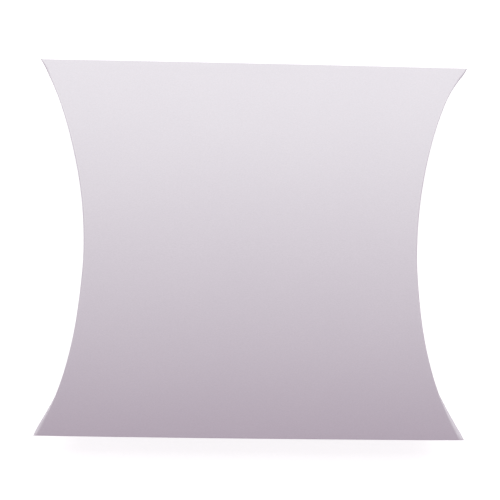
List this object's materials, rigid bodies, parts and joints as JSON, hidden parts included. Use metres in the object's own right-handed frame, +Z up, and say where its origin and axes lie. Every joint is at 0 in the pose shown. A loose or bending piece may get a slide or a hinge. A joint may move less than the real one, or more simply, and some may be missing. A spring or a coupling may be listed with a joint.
{
  "type": "pillow box",
  "caption": "Plain card gift box with two bulging panels, straight side folds, and curved ends closed by overlapping concave flaps.",
  "frame": {"origin": "on the surface that the box lies on, under the middle of the box", "axes": "+X from the left end to the right end along the side folds, +Y across to the unglued side fold, +Z up out of the front panel"},
  "size_m": [0.1492, 0.1328, 0.0359],
  "materials": {
    "card": "satin coated, pale lilac white",
    "adhesive": "dried clear-white glue film"
  },
  "bodies": {
    "carton": {"front_panel": "card", "back_panel": "card", "glue_tab": "card", "glue_line": "adhesive"},
    "left_outer": {"left_outer_flap": "card"},
    "right_outer": {"right_outer_flap": "card"},
    "left_inner": {"left_inner_flap": "card"},
    "right_inner": {"right_inner_flap": "card"}
  },
  "joints": [
    {"name": "left_outer_flap_fold", "type": "hinge", "parent": "carton", "child": "left_outer", "pos_m": [-0.057, 0, 0.03589], "axis": [0, 1, 0], "range_deg": [0, 90]},
    {"name": "left_inner_flap_give", "type": "hinge", "parent": "carton", "child": "left_inner", "pos_m": [-0.0563, 0, 0], "axis": [0, 1, 0], "range_deg": [0, 6], "stiffness_Nm_per_rad": 0.01},
    {"name": "right_outer_flap_fold", "type": "hinge", "parent": "carton", "child": "right_outer", "pos_m": [0.057, 0, 0.03589], "axis": [0, -1, 0], "range_deg": [0, 90]},
    {"name": "right_inner_flap_give", "type": "hinge", "parent": "carton", "child": "right_inner", "pos_m": [0.0563, 0, 0], "axis": [0, -1, 0], "range_deg": [0, 6], "stiffness_Nm_per_rad": 0.01}
  ]
}
